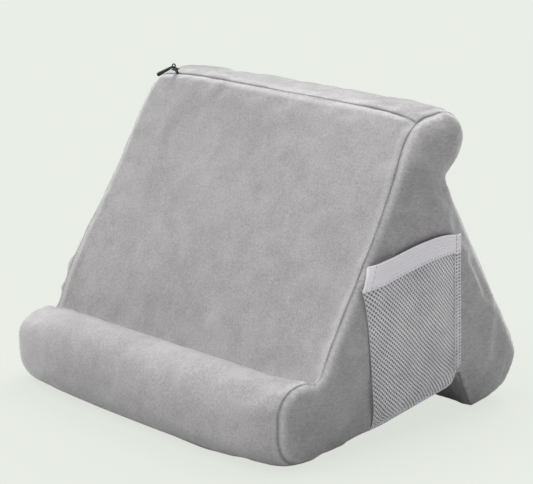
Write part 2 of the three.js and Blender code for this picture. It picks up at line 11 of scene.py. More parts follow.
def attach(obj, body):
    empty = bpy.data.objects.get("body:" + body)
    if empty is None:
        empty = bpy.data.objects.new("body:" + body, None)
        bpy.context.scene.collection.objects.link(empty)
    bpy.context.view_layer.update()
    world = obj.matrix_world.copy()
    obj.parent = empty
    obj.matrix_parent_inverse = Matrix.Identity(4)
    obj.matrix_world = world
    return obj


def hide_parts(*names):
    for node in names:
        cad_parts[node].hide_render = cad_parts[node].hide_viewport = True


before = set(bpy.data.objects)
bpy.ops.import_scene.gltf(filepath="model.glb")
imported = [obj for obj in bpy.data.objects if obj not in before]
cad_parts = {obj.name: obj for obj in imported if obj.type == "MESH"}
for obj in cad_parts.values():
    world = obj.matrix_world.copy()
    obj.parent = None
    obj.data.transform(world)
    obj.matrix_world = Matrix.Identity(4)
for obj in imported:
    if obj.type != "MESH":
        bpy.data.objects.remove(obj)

bl_info = {
    "name": "Cushion Stand",
    "version": (1, 0, 0),
    "blender": (4, 5, 0),
    "location": "3D View > Sidebar > Cushion Stand",
    "description": "Builds a velvet cushion stand with a zip and a net pocket",
    "category": "Add Mesh",
}

MM = 0.001
SEED = 7
JOIN = 0.001 * MM
FULL_LEVEL = 255
RIGHT = Vector((1, 0, 0))


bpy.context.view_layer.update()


def srgb(*levels):
    """A colour as it looks on screen, from 0 to 255, as linear light."""
    shown = Color([level / FULL_LEVEL for level in levels])
    return tuple(shown.from_srgb_to_scene_linear())


def ramp(value, start, end):
    """How far a value has come from start to end, from 0 to 1."""
    return np.clip((value - start) / (end - start), 0, 1)


def ease(share):
    """A share that sets off and arrives gently."""
    return share ** 2 * (3 - 2 * share)


def hill(gap, wide):
    """1 where there is no gap, falling to nothing past a width."""
    return np.exp(-((gap / wide) ** 2))


def gaps(points, others):
    """Distances from each of some points to each of some others."""
    return np.linalg.norm(points[:, None] - others[None], axis=2)


def measure_round(points):
    """How far round a closed line each of its points lies, and the whole way round."""
    steps = np.linalg.norm(np.roll(points, -1, 0) - points, axis=1)
    return np.concatenate(([0], np.cumsum(steps)[:-1])), steps.sum()


# Cross-section of the cover

# Corners by name: y, z and fillet in mm, halfway along and then at the side seam
CORNERS = {
    "trough": ((-73.65, 28.0, 5.0), (-69.5, 46.5, 10.0)),
    "roll_back": ((-82.65, 56.0, 18.0), (-81.65, 53.0, 11.0)),
    "roll_brow": ((-123.6, 56.0, 27.0), (-107.65, 53.0, 19.0)),
    "roll_foot": ((-123.6, -0.5, 15.0), (-107.65, 1.4, 20.0)),
    "base_start": ((-43.65, -0.5, 60.0), (-58.0, 2.2, 60.0)),
    "base_end": ((47.35, 18.5, 15.0), (48.35, 21.5, 12.0)),
    "notch": ((60.35, 30.0, 3.5), (60.85, 30.5, 3.5)),
    "heel_front": ((74.35, -0.5, 11.0), (74.6, 0.6, 5.0)),
    "heel_back": ((148.05, -0.5, 30.0), (134.5, 13.0, 27.0)),
    "neck": ((43.35, 163.85, 6.0), (42.85, 165.0, 5.0)),
    "lobe_under": ((65.35, 177.0, 14.0), (60.6, 182.0, 15.0)),
    "lobe_top": ((65.35, 214.7, 28.0), (60.6, 211.0, 22.0)),
    "top_front": ((18.63, 214.7, 18.0), (20.21, 212.15, 14.0)),
}
PANELS = (
    ("front_roll_panel", "trough", "base_start"),
    ("base_panel", "base_start", "notch"),
    ("back_panel", "notch", "neck"),
    ("top_panel", "neck", "top_front"),
    ("rest_panel", "top_front", "trough"),
)
SIDES = (("right_side_panel", 1), ("left_side_panel", -1))
MIDDLE_X = -3.7
INSIDE = (20.0 * MM, 80.0 * MM)
SEAM_HALF = 132.0
SIDE_OUT = 139.6
SIDE_ROUND = {1: 24.0, -1: 17.0}
CROWN_POWER = 3
MESH_STEP = 5.0
ROW_RISE = math.sqrt(0.75)
RIM_CLEAR = 0.6
ARC_STEP = math.radians(20)
ROWS = 27
ROW_EVEN = 0.55
ZIP_UP = Vector((-0.5277, 0.8494))
REST_OUT = Vector((-0.896, 0.443))
CORNER_DROOP = 5.5
DROOP_POWER = 8
DROOP_SPREAD = 24.0
TROUGH_LEFT_DROP = 9.0
TROUGH_WIDE = 15.0
LEFT_DROP_POWER = 6
SEAM_INSET = 7.0
INSET_FROM_ZIP = 6.0
INSET_SPREAD = 36.0
LIP = {1: 3.0, -1: 7.0}
LIP_POWER = 5
LIP_START = 70.0
LIP_FADE = 22.0
LEFT_SPREAD = 10.0
SPREAD_RISE = (40.0, 150.0)
SPREAD_FADE = 20.0
SPREAD_BLUR = 8.0
SPREAD_POWER = 3
LOBE_HEIGHTS = (175.0, 205.0)
TOP_SETTLE = 0.5
TOP_TILT = 2.3
TILT_SHARES = (-0.6, 1.0)
TILT_POWER = 3
ROLL_DEPTHS = (-60.0, -85.0)
ROLL_HEIGHTS = (15.0, 50.0)
ROLL_LEFT_DROP = 4.5
ROLL_RIGHT_OUT = 3.5
ROLL_RIGHT_ROUND = 0.55
SEAM_PULL_POWER = 4
GROOVE_DEEP = 1.3
GROOVE_WIDE = 7.0


def fillets(corners):
    """The arc that rounds each corner: its centre, its first spoke and its signed turn."""
    arcs = []
    for index, (y, z, radius) in enumerate(corners):
        here = Vector((y, z))
        back = (Vector(corners[index - 1][:2]) - here).normalized()
        on = (Vector(corners[(index + 1) % len(corners)][:2]) - here).normalized()
        half = back.angle(on) / 2
        centre = here + (back + on).normalized() * radius / math.sin(half)
        first = here + back * radius / math.tan(half) - centre
        last = here + on * radius / math.tan(half) - centre
        turn = math.atan2(first.x * last.y - first.y * last.x, first.dot(last))
        arcs.append((centre, first, turn))
    return arcs


def spoke(arc, share):
    """A point on an arc."""
    centre, first, turn = arc
    return centre + Matrix.Rotation(turn * share, 2) @ first


class Section:
    """The cross-section, sampled at matching points halfway along and at the side seam."""

    def __init__(self):
        arcs = [fillets(corners) for corners in zip(*CORNERS.values())]
        lines = ([], [])
        self.seam = {}
        for index, (name, (middle, _)) in enumerate(CORNERS.items()):
            after = (index + 1) % len(CORNERS)
            turn = abs(arcs[0][index][2])
            steps = max(turn / ARC_STEP, turn * middle[2] / MESH_STEP)
            steps = 2 * max(1, math.ceil(steps / 2))
            self.seam[name] = len(lines[0]) + steps // 2
            edge = (spoke(arcs[0][after], 0) - spoke(arcs[0][index], 1)).length
            parts = max(1, round(edge / MESH_STEP))
            for line, rounds in zip(lines, arcs):
                line += [spoke(rounds[index], step / steps) for step in range(steps + 1)]
                start, end = line[-1], spoke(rounds[after], 0)
                line += [start.lerp(end, part / parts) for part in range(1, parts)]
        self.middle, self.rim = np.array(lines)
        self.count = len(self.middle)
        y, z = self.middle.T
        self.arc, self.round = measure_round(self.middle)
        self.zip_away = self.away("top_front")
        self.droop = hill(self.zip_away, DROOP_SPREAD)
        ahead = (self.arc - self.arc[self.seam["top_front"]]) % self.round
        behind = np.where(ahead > self.round / 2, ahead - self.round, ahead)
        self.inset = SEAM_INSET * hill(behind - INSET_FROM_ZIP, INSET_SPREAD)
        trough = ahead[self.seam["trough"]]
        self.lip = ramp(ahead, LIP_START, trough) ** 2 * ease(ramp(ahead, trough + LIP_FADE, trough))
        low_rest = ramp(ahead, *SPREAD_RISE) * ramp(ahead, trough + SPREAD_FADE, trough)
        self.wider = LEFT_SPREAD * ease(low_rest)
        self.trough = hill(self.away("trough"), TROUGH_WIDE)
        self.high = ramp(z, *LOBE_HEIGHTS)
        self.roll = ramp(y, *ROLL_DEPTHS)
        self.roll_high = self.roll * ramp(z, *ROLL_HEIGHTS)
        seams = np.min([self.away(first) for _, first, _ in PANELS], axis=0)
        self.groove = GROOVE_DEEP * ramp(seams, GROOVE_WIDE, 0) ** 2

    def away(self, name):
        """Distance round the outline from a seam."""
        gap = np.abs(self.arc - self.arc[self.seam[name]])
        return np.minimum(gap, self.round - gap)

    def loop(self, share, sunk=0.0):
        """The outline at a share of the way from the middle to a side seam, in mm."""
        side = 1 if share > 0 else -1
        far = abs(share)
        full = math.sqrt(1 - far ** CROWN_POWER)
        flat = self.rim + (self.middle - self.rim) * full
        along = np.roll(flat, -1, 0) - np.roll(flat, 1, 0)
        out = np.stack([along[:, 1], -along[:, 0]], 1)
        out /= np.linalg.norm(out, axis=1)[:, None]
        flat -= out * (self.groove * full + sunk)[:, None]
        flat -= np.outer(CORNER_DROOP * far ** DROOP_POWER * self.droop, ZIP_UP)
        flat += np.outer(LIP[side] * far ** LIP_POWER * self.lip, REST_OUT)
        settle = TOP_SETTLE + TOP_TILT * ramp(share, *TILT_SHARES)
        near_zip = 1 - max(0.0, share) ** TILT_POWER * (1 - self.droop)
        flat[:, 1] -= settle * self.high * near_zip
        if side < 0:
            drop = ROLL_LEFT_DROP * self.roll_high + TROUGH_LEFT_DROP * self.trough
            flat[:, 1] -= drop * far ** LEFT_DROP_POWER
        flat[:, 1] = np.maximum(flat[:, 1], 0)
        pulled = ROLL_RIGHT_OUT * self.roll - self.inset if side > 0 else self.wider / 2
        x = share * SEAM_HALF + side * pulled * far ** SEAM_PULL_POWER
        return np.column_stack([x + MIDDLE_X, flat])

    def span(self, first, last):
        """Indices from one seam to the next."""
        start = self.seam[first]
        steps = (self.seam[last] - start) % self.count
        return [(start + step) % self.count for step in range(steps + 1)]


SECTION = Section()


def row_shares():
    """Where the rows of a panel lie, closer together towards the side seams."""
    half = []
    for row in range(1, ROWS + 1):
        part = row / ROWS
        half.append(ROW_EVEN * part + (1 - ROW_EVEN) * math.sin(part * math.pi / 2))
    return [-share for share in reversed(half)] + [0.0] + half


# Mesh helpers

def to_mesh(name, bm):
    """A mesh from a bmesh, which it uses up."""
    mesh = bpy.data.meshes.new(name)
    bm.to_mesh(mesh)
    bm.free()
    return mesh


def new_piece(name, bm, smooth=True):
    """Puts a bmesh into a new object at the origin."""
    mesh = to_mesh(name, bm)
    if smooth:
        mesh.shade_smooth()
    obj = bpy.data.objects.new(name, mesh)
    bpy.context.scene.collection.objects.link(obj)
    return obj


def metres(points):
    """Points in mm as vectors in metres."""
    return [Vector(point) * MM for point in points]


def loft(rows, closed=False):
    """A bmesh of a grid through rows of points, closed round each row where asked."""
    if closed:
        rows = [row + row[:1] for row in rows]
    bm = bmesh.new()
    bmesh.ops.create_grid(bm, x_segments=len(rows[0]) - 1, y_segments=len(rows) - 1, size=1.0)
    places = [point for row in rows for point in row]
    for vert, point in zip(bm.verts, places):
        vert.co = point
    if closed:
        bmesh.ops.remove_doubles(bm, verts=bm.verts, dist=JOIN)
    return bm


def face_outwards(bm, outward):
    """Turns the faces of an open sheet to the side that outward(centre) points to."""
    bmesh.ops.recalc_face_normals(bm, faces=bm.faces)
    if sum(face.normal.dot(outward(face.calc_center_median())) for face in bm.faces) < 0:
        bmesh.ops.reverse_faces(bm, faces=bm.faces)


def close_ends(bm):
    """Closes the open ends of a shell and turns its faces outwards."""
    bmesh.ops.holes_fill(bm, edges=[edge for edge in bm.edges if edge.is_boundary])
    bmesh.ops.recalc_face_normals(bm, faces=bm.faces)


def grid_sheet(cells, place):
    """A grid with each point where place(along, across) puts it, both from 0 to 1, facing right."""
    bm = bmesh.new()
    bmesh.ops.create_grid(bm, x_segments=cells[0], y_segments=cells[1], size=0.5)
    for vert in bm.verts:
        vert.co = place(vert.co.x + 0.5, vert.co.y + 0.5)
    face_outwards(bm, lambda at: RIGHT)
    return bm


def thicken(obj, thick, offset=-1):
    """Gives a sheet its thickness, in metres."""
    wall = obj.modifiers.new("thickness", "SOLIDIFY")
    wall.thickness = thick
    wall.offset = offset
    return obj


def rounded_block(size, round_by):
    """A block with rounded edges, in mm, as a mesh to copy from."""
    bm = bmesh.new()
    bmesh.ops.create_cube(bm, size=1.0)
    bmesh.ops.scale(bm, verts=bm.verts, vec=[side * MM for side in size])
    bmesh.ops.bevel(
        bm, geom=bm.edges[:], offset=round_by * MM, offset_type="OFFSET", affect="EDGES",
        segments=2, profile=0.5, material=-1)
    return to_mesh("block", bm)


def stamp(bm, mesh, spot, turn):
    """Adds a copy of a small mesh to a bmesh, turned and put at a spot."""
    before = len(bm.verts)
    bm.from_mesh(mesh)
    bm.verts.ensure_lookup_table()
    place = Matrix.Translation(spot) @ turn
    bmesh.ops.transform(bm, matrix=place, verts=bm.verts[before:])


def axes(*ways):
    """The turn that brings x, y and z to three ways."""
    return Matrix(ways).transposed().to_4x4()


def vectors(mesh, kind="co"):
    """A mesh's points or its normals as rows of numbers."""
    flat = np.empty(len(mesh.vertices) * 3)
    mesh.vertices.foreach_get(kind, flat)
    return flat.reshape(-1, 3)


def move_points(mesh, points):
    mesh.vertices.foreach_set("co", points.ravel())
    mesh.update()


def border(mesh):
    """Indices of the open border's vertices, in order."""
    bm = bmesh.new()
    bm.from_mesh(mesh)
    edge = next(edge for edge in bm.edges if edge.is_boundary)
    start, here = edge.verts
    chain = [start.index]
    while here != start:
        chain.append(here.index)
        edge = next(e for e in here.link_edges if e.is_boundary and e != edge)
        here = edge.other_vert(here)
    bm.free()
    return chain


# Finishes

def operator(operation, swapped=False):
    """An operator between values that adds a Math node."""
    def combine(value, other):
        pair = (other, value) if swapped else (value, other)
        sockets = dict(enumerate(pair))
        return value.finish.node("ShaderNodeMath", {"operation": operation}, sockets)
    return combine


class Value:
    """A node's output that takes part in arithmetic."""
    __add__ = operator("ADD")
    __radd__ = operator("ADD", swapped=True)
    __sub__ = operator("SUBTRACT")
    __rsub__ = operator("SUBTRACT", swapped=True)
    __mul__ = operator("MULTIPLY")
    __rmul__ = operator("MULTIPLY", swapped=True)

    def __init__(self, finish, socket):
        self.finish = finish
        self.socket = socket


SEEN_RAYS = ("Is Camera Ray", "Is Glossy Ray", "Is Transmission Ray")


class Finish:
    """The nodes of a material or of the room."""

    def __init__(self, owner, shader="Principled BSDF"):
        owner.use_nodes = True
        self.owner = owner
        self.tree = owner.node_tree
        self.shader = self.tree.nodes[shader]

    def node(self, kind, settings=None, sockets=None, output=0):
        """Adds a node: its settings first, then the values or links of its sockets."""
        node = self.tree.nodes.new(kind)
        for key, value in (settings or {}).items():
            setattr(node, key, value)
        for key, value in (sockets or {}).items():
            self.feed(node.inputs[key], value)
        return Value(self, node.outputs[output])

    def feed(self, socket, value):
        """Links a value to a socket, or sets the socket to a number, a vector or a colour."""
        if isinstance(value, Value):
            self.tree.links.new(value.socket, socket)
        elif socket.type == "RGBA":
            socket.default_value = (*value, 1.0)
        else:
            socket.default_value = value

    def set(self, **sockets):
        """Sets the shader's sockets, with spaces in their names written as underscores."""
        for name, value in sockets.items():
            self.feed(self.shader.inputs[name.replace("_", " ")], value)

    def turned(self, vector, **sockets):
        return self.node("ShaderNodeMapping", {}, {"Vector": vector, **sockets})

    def noise(self, vector, **sockets):
        return self.node("ShaderNodeTexNoise", {}, {"Vector": vector, **sockets})

    def wave(self, vector, axis, **sockets):
        settings = {"bands_direction": axis}
        return self.node("ShaderNodeTexWave", settings, {"Vector": vector, **sockets})

    def spread(self, value, low, high):
        """0 below low and 1 above high, with a soft step between them."""
        sockets = {"Value": value, "From Min": low, "From Max": high}
        return self.node("ShaderNodeMapRange", {"interpolation_type": "SMOOTHSTEP"}, sockets)

    def mix(self, share, first, second):
        sockets = {0: share, 6: first, 7: second}
        return self.node("ShaderNodeMix", {"data_type": "RGBA"}, sockets, output=2)

    def bump(self, height, depth, strength):
        """Feeds the shader's normal from a height."""
        sockets = {"Height": height, "Distance": depth, "Strength": strength}
        self.set(Normal=self.node("ShaderNodeBump", {}, sockets))

    def backdrop(self, kind, colour, level, share, output):
        """Shows a plain colour to the rays that see it and leaves the shader to light the rest."""
        path = self.tree.nodes.new("ShaderNodeLightPath")
        seen = sum(Value(self, path.outputs[name]) for name in SEEN_RAYS)
        shown = self.node(kind, {}, {"Color": colour, "Strength": level})
        lit = Value(self, self.shader.outputs[0])
        blend = self.node("ShaderNodeMixShader", {}, {0: seen * share, 1: lit, 2: shown})
        self.feed(self.tree.nodes[output].inputs["Surface"], blend)


def dimmed(colour, share):
    return [level * share for level in colour]


def velvet(finish, at, colours):
    """Short-pile velvet: soft patches of nap over a fine brushed pile, with painted shade right along
    the seams and a painted highlight just beside them.
    """
    patch = finish.noise(at, Scale=14, Distortion=0.6)
    cloud = finish.noise(at, Scale=70, Distortion=0.4)
    brushed = finish.turned(at, Rotation=(0.5, 0.3, 0.7), Scale=(1, 0.3, 1))
    stroke = finish.noise(brushed, Scale=780, Roughness=0.6, Distortion=0.4)
    grain = finish.noise(at, Scale=950, Detail=3, Roughness=0.7)
    pile = finish.noise(at, Scale=1500, Roughness=0.6)
    nap = patch * 0.2 + cloud * 0.17 + stroke * 0.26 + grain * 0.37
    tone = finish.spread(nap, 0.36, 0.64)
    speck = finish.spread(pile, 0.42, 0.72)
    seam = finish.node("ShaderNodeAttribute", {"attribute_name": "seam_far"}, output="Fac")
    broken = finish.spread(finish.noise(at, Scale=240, Roughness=0.6), 0.36, 0.6)
    # Painted shade: the velvet is darkened right along each seam, the line broken up by noise.
    seam_shade = 1 - finish.spread(seam + grain * 1.2 - 0.6, 0.0, 0.9)
    # Painted highlight: the pile is lightened towards the tip colour in a band about 1 to 2 mm from
    # each seam.
    seam_highlight = finish.spread(seam, 0.6, 1.8) * (1 - finish.spread(seam, 2.4, 7.0))
    colour = finish.mix(tone, colours.velvet_dark, colours.velvet_light)
    colour = finish.mix(speck * 0.16 + seam_highlight * (grain * 0.5 + 0.1), colour, colours.velvet_tip_and_seam_highlight)
    colour = finish.mix(seam_shade * (broken * 0.2 + 0.06), colour, colours.velvet_seam_shade)
    finish.set(Base_Color=colour, Roughness=0.94 - tone * 0.08)
    finish.set(Sheen_Weight=0.9, Sheen_Roughness=0.3, Specular_IOR_Level=0.1)
    finish.bump(pile * 0.35 + grain * 0.5 + cloud * 0.3, depth=0.0008, strength=0.4)


def foam(finish, at, colours):
    """Cut foam with open cells."""
    cells = finish.node("ShaderNodeTexVoronoi", {}, {"Vector": at, "Scale": 900.0})
    colour = finish.mix(finish.noise(at, Scale=30), colours.foam, dimmed(colours.foam, 0.86))
    finish.set(Base_Color=colour, Roughness=0.9 - cells * 0.1)
    finish.bump(cells, depth=0.0006, strength=0.7)


def yarn(finish, at, colour, deep):
    """Fine twisted yarn."""
    turned = finish.turned(at, Rotation=(0.6, 0.4, 0.2))
    twist = finish.wave(turned, "DIAGONAL", Scale=900, Distortion=1.5)
    worn = finish.noise(at, Scale=60)
    fibre = finish.noise(at, Scale=1800)
    shade = finish.spread(worn * 0.6 + fibre * 0.4, 0.3, 0.7)
    finish.set(Base_Color=finish.mix(shade, deep, colour), Roughness=0.8 - twist * 0.12)
    finish.set(Sheen_Weight=0.2, Sheen_Roughness=0.5, Specular_IOR_Level=0.25)
    finish.bump(twist * 0.7 + fibre * 0.3, depth=0.0002, strength=0.6)


def elastic(finish, at, colours):
    """Ribbed elastic: fine yarns across, with rows of a paler lilac grey."""
    ribs = finish.wave(at, "Y", Scale=520, Distortion=0.4)
    worn = finish.noise(at, Scale=45)
    fibre = finish.noise(at, Scale=1600)
    shade = finish.spread(ribs * 0.45 + worn * 0.3 + fibre * 0.25, 0.25, 0.75)
    colour = finish.mix(shade, colours.band_deep, colours.band)
    finish.set(Base_Color=colour, Roughness=0.72 - ribs * 0.1)
    finish.set(Sheen_Weight=0.25, Sheen_Roughness=0.4, Specular_IOR_Level=0.3)
    finish.bump(ribs * 0.7 + fibre * 0.3, depth=0.00025, strength=0.6)


def tape(finish, at, colours):
    """Woven zip tape."""
    weave = finish.wave(at, "X", Scale=420) * finish.wave(at, "Y", Scale=420)
    fibre = finish.noise(at, Scale=1500)
    deep = dimmed(colours.zip_grey, 0.55)
    colour = finish.mix(weave * 0.7 + fibre * 0.3, deep, colours.zip_grey)
    finish.set(Base_Color=colour, Roughness=0.88 - weave * 0.1, Specular_IOR_Level=0.25)
    finish.bump(weave, depth=0.0002, strength=0.6)


def nylon(finish, at, colours):
    """Moulded nylon coil."""
    rub = finish.noise(at, Scale=240, Detail=3)
    colour = finish.mix(rub, dimmed(colours.zip_grey, 0.5), dimmed(colours.zip_grey, 0.8))
    finish.set(Base_Color=colour, Roughness=0.36 + rub * 0.2)
    finish.bump(rub, depth=0.0001, strength=0.4)


def lacquer(finish, at, colours):
    """Black lacquer on small cast metal, with patches rubbed paler."""
    rub = finish.noise(at, Scale=420, Detail=4, Roughness=0.6)
    peel = finish.noise(at, Scale=2200)
    worn = finish.spread(rub, 0.6, 0.78)
    colour = finish.mix(worn, colours.pull, dimmed(colours.pull, 2.2))
    finish.set(Base_Color=colour, Roughness=0.34 + rub * 0.18, Metallic=worn * 0.3)
    finish.set(Coat_Weight=0.25 - worn * 0.2)
    finish.bump(peel, depth=0.00005, strength=0.35)


FLOOR_GLOW = 0.87
FLOOR_LEVEL = 0.974
FLOOR_DIM = 0.71


def pale_floor(finish, at, colours):
    """A pale floor that keeps a light shadow and throws little light back."""
    grey = [sum(colours.floor) / 3 * FLOOR_DIM] * 3
    colour = finish.mix(finish.noise(at, Scale=3) * 0.02, grey, dimmed(grey, 0.97))
    finish.set(Base_Color=colour, Roughness=0.95, Specular_IOR_Level=0.0)
    finish.backdrop("ShaderNodeEmission", colours.floor, FLOOR_LEVEL, FLOOR_GLOW, "Material Output")


FINISHES = {
    "velvet": ("velvet_pile", velvet),
    "foam": ("foam_cells", foam),
    "netting": ("net_yarn", lambda finish, at, c: yarn(finish, at, c.net, c.net_deep)),
    # The front hem's dark yarn is partly painted shadow along the pocket's front edge.
    "hem": ("hem_yarn", lambda finish, at, c: yarn(finish, at, c.hem, dimmed(c.hem, 0.7))),
    "thread": ("thread", lambda finish, at, c: yarn(finish, at, c.thread, dimmed(c.thread, 0.75))),
    "elastic": ("elastic_ribs", elastic),
    "zip_tape": ("tape_weave", tape),
    "zip_nylon": ("nylon_coil", nylon),
    "black_metal": ("black_lacquer", lacquer),
    "floor": ("floor", pale_floor),
}
MADE = {}


def material(context, name):
    """A finish by name, made when it is first asked for."""
    if name not in MADE:
        title, make = FINISHES[name]
        finish = Finish(bpy.data.materials.new(title))
        at = finish.node("ShaderNodeTexCoord", output="Object")
        make(finish, at, context.scene.cushion_colours)
        MADE[name] = finish.owner
    return MADE[name]


def settle_in(context, obj, finish, *nodes, body="cushion", slot=None):
    """Dresses a piece, makes it ride and hides the solids it stands for."""
    obj.data.materials.append(material(context, finish))
    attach(obj, body)
    slot or finish
    if nodes:
        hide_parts(*nodes)


# Sizes and colours

def length(name, description, default):
    return bpy.props.FloatProperty(
        name=name, description=description, default=default, min=0.0, unit="LENGTH", precision=4)


def colour(name, description, *levels):
    return bpy.props.FloatVectorProperty(
        name=name, description=description, default=srgb(*levels), subtype="COLOR", min=0.0, max=1.0)


class CushionSizes(bpy.types.PropertyGroup):
    """Sizes of the cover and the pocket."""
    cloth: length("Cloth", "Thickness of the velvet", 0.0012)
    swell: length("Swell", "Furthest that the cover may puff out", 0.0013)
    fold_deep: length("Fold depth", "Depth of the puckers along the seams", 0.0009)
    fold_long: length("Fold length", "How far a pucker runs from its seam", 0.016)
    fold_step: length("Fold spacing", "Distance between puckers", 0.017)
    pressure: bpy.props.FloatProperty(
        name="Pressure", description="Pressure of the stuffing on the cover", default=4.0, min=0.0)
    slack: bpy.props.FloatProperty(
        name="Slack", description="Spare cloth as a share of the panel", default=0.02, min=0.0, max=0.2)
    net_hole: length("Net hole", "Distance between holes along the net", 0.0027)
    net_rise: length("Net rise", "Distance between holes up the net", 0.0034)
    net_yarn: length("Net yarn", "Thickness of the net", 0.00032)
    stitch: length("Stitch", "Length of a stitch", 0.0024)


class CushionColours(bpy.types.PropertyGroup):
    """Colours of the cushion and its stage."""
    velvet_light: colour("Velvet, brushed up", "Nap that faces the light", 184, 182, 183)
    velvet_dark: colour("Velvet, brushed down", "Nap that lies away", 150, 148, 149)
    # Colour of the pile tips, also used for the painted highlight beside the seams.
    velvet_tip_and_seam_highlight: colour("Velvet tips", "Tips of the pile", 218, 217, 217)
    # Colour of the painted shade along the seams.
    velvet_seam_shade: colour("Velvet, parted", "Ground cloth where the pile parts", 74, 72, 74)
    foam: colour("Foam", "The core", 226, 221, 205)
    net: colour("Net", "The pocket's net", 246, 244, 247)
    net_deep: colour("Net, worn", "Darker yarn in the net", 222, 220, 224)
    # Darker than the net: partly the binding's own colour, partly painted shadow for the dark line at
    # the pocket's front edge.
    hem: colour("Hem", "The net's sewn front edge", 148, 146, 149)
    thread: colour("Thread", "Stitches on the band", 214, 212, 216)
    band: colour("Band", "The elastic band", 250, 248, 252)
    band_deep: colour("Band, deep", "Yarn between the ribs", 236, 233, 239)
    zip_grey: colour("Zip", "Zip tape and coil", 92, 91, 93)
    pull: colour("Pull", "Zip slider and pull", 14, 14, 15)
    floor: colour("Floor", "Floor and background", 233, 238, 230)


# Cover

SWELL_FRAMES = 20
CLOTH = {
    "quality": 6,
    "mass": 0.2,
    "air_damping": 4,
    "tension_stiffness": 18,
    "compression_stiffness": 18,
    "shear_stiffness": 6,
    "bending_stiffness": 0.6,
    "use_pressure": True,
    "vertex_group_mass": "held",
}
INSIDE_HOLD = 0.06
NO_MOVE = 1e-9
ZIP_SLIT = 0.16
SLIT_OPEN = 0.55
SLIT_LEAN = 0.35
SLIT_WAVER = 1.1
SLIT_WAVES = 14
SLIT_DRIFT = (2, 5)
RIDGE_HIGH = 0.5 * MM
RIDGE_FAR = 4.5 * MM
RIDGE_WIDE = 3.0 * MM
FOLD_HIGH = (-0.5, 1.0)
FOLD_WIDE = (3.5 * MM, 6.5 * MM)
FOLD_REACH = (0.5, 1.4)
FOLD_SLANT = (-0.35, 0.35)
FOLD_APART = (0.55, 1.5)
FOLD_START = 3.0 * MM
RUMPLES = ((0.7 * MM, 28), (0.3 * MM, 75))
FOLDS_FADE = 35.0 * MM
FOLDS_LOW = 0.15
FLOOR_LIFT = 0.2 * MM
SIDE_LIMITS = (-150.0 * MM, 136.2 * MM)
FOAM_INSET = 4.5
FOAM_JOIN = 0.05 * MM
ZIP_CHANNEL = 9.0
CHANNEL_WIDE = 12.0


def swell(context, panels):
    """Puffs panels out with a short cloth run, pinned at their seams, and keeps the shape."""
    scene = context.scene
    sizes = scene.cushion_sizes
    scene.frame_set(1)
    for obj in panels:
        held = obj.vertex_groups.new(name="held")
        held.add(list(range(len(obj.data.vertices))), INSIDE_HOLD, "REPLACE")
        held.add(border(obj.data), 1.0, "REPLACE")
        cloth = obj.modifiers.new("swell", "CLOTH")
        cloth.point_cache.frame_end = SWELL_FRAMES
        cloth.collision_settings.use_collision = False
        for name, value in CLOTH.items():
            setattr(cloth.settings, name, value)
        cloth.settings.uniform_pressure_force = sizes.pressure
        cloth.settings.shrink_min = -sizes.slack
        cloth.settings.effector_weights.gravity = 0
    for step in range(1, SWELL_FRAMES + 1):
        scene.frame_set(step)
    graph = context.evaluated_depsgraph_get()
    for obj in panels:
        rest = vectors(obj.data)
        moved = vectors(obj.evaluated_get(graph).data) - rest
        far = np.linalg.norm(moved, axis=1)
        share = np.minimum(1, sizes.swell / np.maximum(far, NO_MOVE))
        obj.modifiers.clear()
        obj.vertex_groups.clear()
        move_points(obj.data, rest + moved * share[:, None])
    scene.frame_set(1)


def refine(obj):
    """Subdivides a panel once and keeps the result in its mesh."""
    finer = obj.modifiers.new("finer", "SUBSURF")
    finer.levels = finer.render_levels = 1
    finer.boundary_smooth = "PRESERVE_CORNERS"
    graph = bpy.context.evaluated_depsgraph_get()
    coarse = obj.data
    mesh = bpy.data.meshes.new_from_object(obj.evaluated_get(graph))
    obj.modifiers.clear()
    obj.data = mesh
    bpy.data.meshes.remove(coarse)


def pucker(context, obj, seed):
    """Presses small folds into a panel along its seams and notes how far the seams are, in mm."""
    sizes = context.scene.cushion_sizes
    mesh = obj.data
    points = vectors(mesh)
    normals = vectors(mesh, "normal")
    chain = border(mesh)
    along, total = measure_round(points[chain])
    away = gaps(points, points[chain])
    place = along[away.argmin(1)]
    depth = away.min(1)
    lift = RIDGE_HIGH * hill(depth - RIDGE_FAR, RIDGE_WIDE)
    draw = random.Random(seed)
    spot = draw.uniform(0, sizes.fold_step)
    while spot < total:
        high = sizes.fold_deep * draw.uniform(*FOLD_HIGH)
        wide = draw.uniform(*FOLD_WIDE)
        reach = sizes.fold_long * draw.uniform(*FOLD_REACH)
        slant = draw.uniform(*FOLD_SLANT)
        gap = place - spot - slant * depth
        gap = (gap + total / 2) % total - total / 2
        fade = hill(depth, reach) * (1 - np.exp(-depth / FOLD_START))
        lift += high * hill(gap, wide) * fade
        spot += sizes.fold_step * draw.uniform(*FOLD_APART)
    for index, point in enumerate(points):
        spot = Vector(point)
        lift[index] += sum(high * noise.noise(spot * waves) for high, waves in RUMPLES)
    lift *= np.clip(points[:, 2] / FOLDS_FADE, FOLDS_LOW, 1)
    lift[chain] = 0
    move_points(mesh, points + normals * lift[:, None])
    seam_far = mesh.attributes.new("seam_far", "FLOAT", "POINT")
    seam_far.data.foreach_set("value", depth / MM)


def stand(obj):
    """Flattens a panel where it stands and keeps it inside the cushion's width."""
    points = vectors(obj.data)
    points[:, 0] = np.clip(points[:, 0], *SIDE_LIMITS)
    points[:, 2] = np.maximum(points[:, 2], FLOOR_LIFT)
    move_points(obj.data, points)


